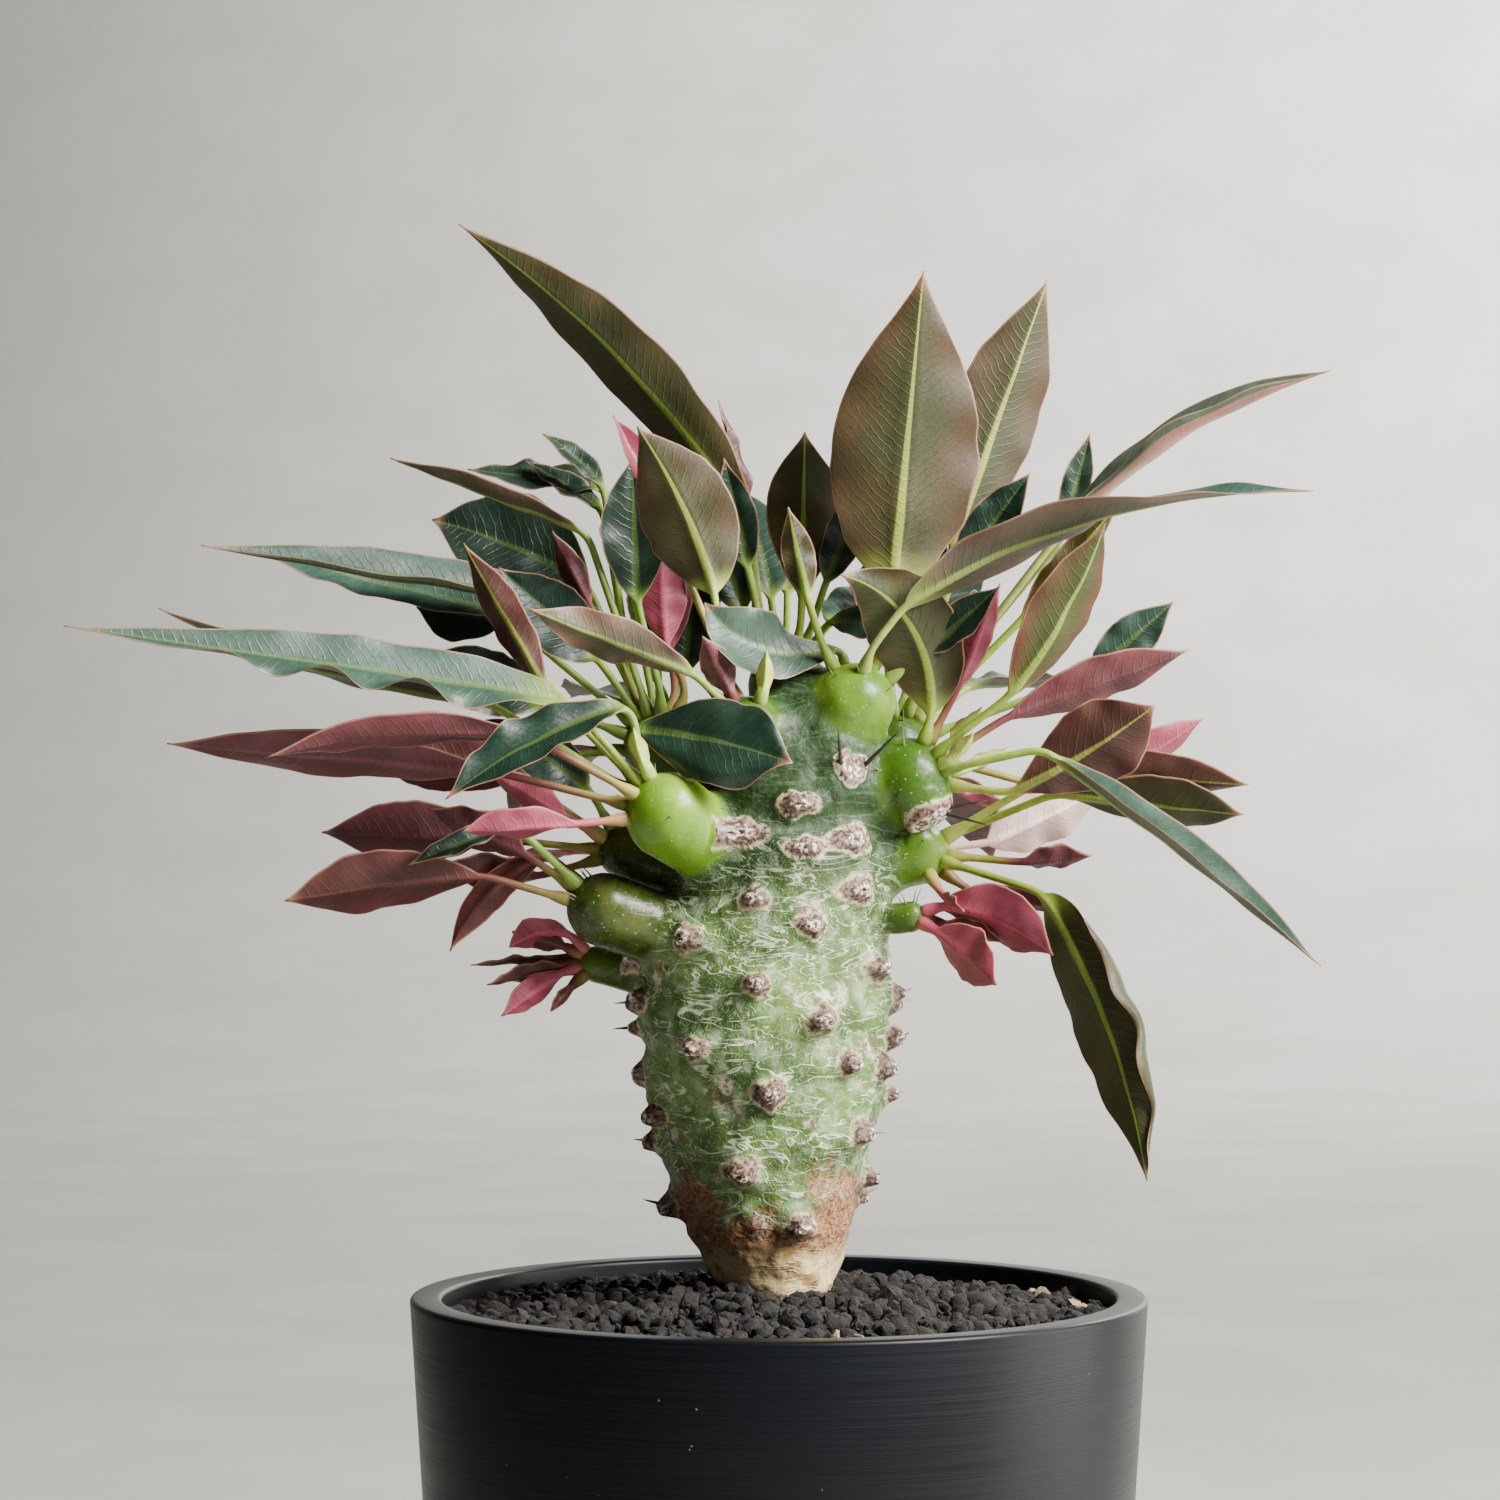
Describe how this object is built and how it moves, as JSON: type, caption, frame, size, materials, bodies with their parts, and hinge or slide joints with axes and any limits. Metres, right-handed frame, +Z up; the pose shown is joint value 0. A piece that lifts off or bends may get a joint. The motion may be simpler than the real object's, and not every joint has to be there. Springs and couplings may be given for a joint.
{
  "type": "potted euphorbia",
  "caption": "Potted euphorbia: a swollen, knobbly green stem with a crown of long green, mauve and pink leaves, in a small round dark pot of granular soil.",
  "frame": {"origin": "centre of the pot's flat underside", "axes": "+Z up the stem; the plant's front faces -Y and its longest leaves spread along X"},
  "size_m": [0.175, 0.105, 0.2527],
  "materials": {
    "pot": "satin",
    "soil": "matte",
    "stem": "satin",
    "pale": "satin",
    "olive": "satin",
    "olive_red": "satin",
    "blue": "satin",
    "green": "satin",
    "dark": "satin",
    "grey": "satin",
    "rosy_green": "satin",
    "brown": "satin",
    "red": "satin",
    "dark_red": "satin",
    "pink": "satin",
    "pale_pink": "satin"
  },
  "bodies": {
    "root": {"pot": "pot", "soil": "soil", "stem": "stem", "leaf_top_great": "pale", "leaf_top_left_tall": "olive", "leaf_top_pale_rib": "pale", "leaf_top_olive_spoon": "olive", "leaf_top_right_second": "pale", "leaf_top_cream_spike": "pink", "leaf_top_red_spike": "red", "leaf_left_longest": "blue", "leaf_left_long_high": "green", "leaf_left_long_blue": "blue", "leaf_left_broad_dark": "dark", "leaf_left_edge_on": "grey", "leaf_left_wavy_high": "green", "leaf_left_dark_blade": "dark", "leaf_left_black_back": "dark", "leaf_left_behind_longest": "grey", "leaf_left_red_upper": "red", "leaf_left_red_long": "red", "leaf_left_red_dark": "dark_red", "leaf_left_red_oval": "red", "leaf_left_red_low": "dark_red", "leaf_left_green_lance": "dark", "leaf_left_red_drop": "dark_red", "leaf_left_pink_fold": "pink", "leaf_left_brown_inner": "brown", "leaf_pink_pair_left": "pink", "leaf_pink_pair_right": "pink", "leaf_front_dark_left": "dark", "leaf_front_broad": "dark", "leaf_front_grey_fold": "grey", "leaf_front_blue_crest": "blue", "leaf_front_green_small": "green", "leaf_front_olive_arch": "olive", "leaf_right_long_top": "rosy_green", "leaf_right_long_under": "grey", "leaf_right_small_upright": "green", "leaf_right_dark_hook": "dark", "leaf_right_dark_inner": "dark", "leaf_right_olive_upright": "olive_red", "leaf_right_pink_upper": "red", "leaf_right_brown_broad": "brown", "leaf_right_blade": "blue", "leaf_right_brown_long": "brown", "leaf_right_olive_long": "olive", "leaf_right_pale_pink": "pale_pink", "leaf_right_droop": "olive", "leaf_right_pink_back": "pink", "leaf_sprout_left_curl": "pink", "leaf_sprout_left_drop": "pink", "leaf_sprout_right_high": "pink", "leaf_sprout_right_low": "pink", "leaf_back_up": "green", "leaf_back_left": "green", "leaf_back_left_low": "red", "leaf_back_right_high": "green", "leaf_back_right": "green", "leaf_back_right_low": "red"}
  },
  "joints": []
}
